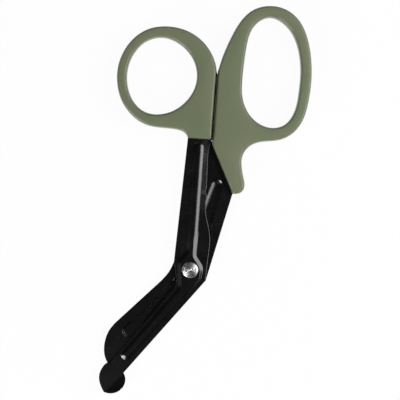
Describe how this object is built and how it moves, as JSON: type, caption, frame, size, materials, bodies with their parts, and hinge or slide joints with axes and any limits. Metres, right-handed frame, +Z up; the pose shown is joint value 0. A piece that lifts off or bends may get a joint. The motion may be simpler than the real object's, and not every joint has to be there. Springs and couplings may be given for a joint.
{
  "type": "bandage scissors",
  "caption": "Angled bandage scissors with a blunt serrated tip, pressed and coated steel blades on a rivet, and moulded handles with a round thumb ring and a long finger loop.",
  "frame": {"origin": "on the pivot axis, at the flat end of the rivet's tail, in the plane that the closed scissors lie on", "axes": "+Y from the pivot towards the handles, +Z up out of the surface, which is the side of the rivet's head, and +X towards the finger loop"},
  "size_m": [0.0966, 0.1756, 0.0086],
  "materials": {
    "handle_plastic": "moulded, fine satin grain, olive",
    "coated_steel": "thin black non-stick coating, satin",
    "rivet_steel": "turned, bright"
  },
  "bodies": {
    "finger_half": {"rear_blade": "coated_steel", "finger_handle": "handle_plastic", "pivot_rivet": "rivet_steel", "rivet_washer": "rivet_steel"},
    "thumb_half": {"front_blade": "coated_steel", "thumb_handle": "handle_plastic"}
  },
  "joints": [
    {"name": "pivot", "type": "hinge", "parent": "finger_half", "child": "thumb_half", "pos_m": [0, 0, 0.0043], "axis": [0, 0, 1], "range_deg": [0, 75]}
  ]
}
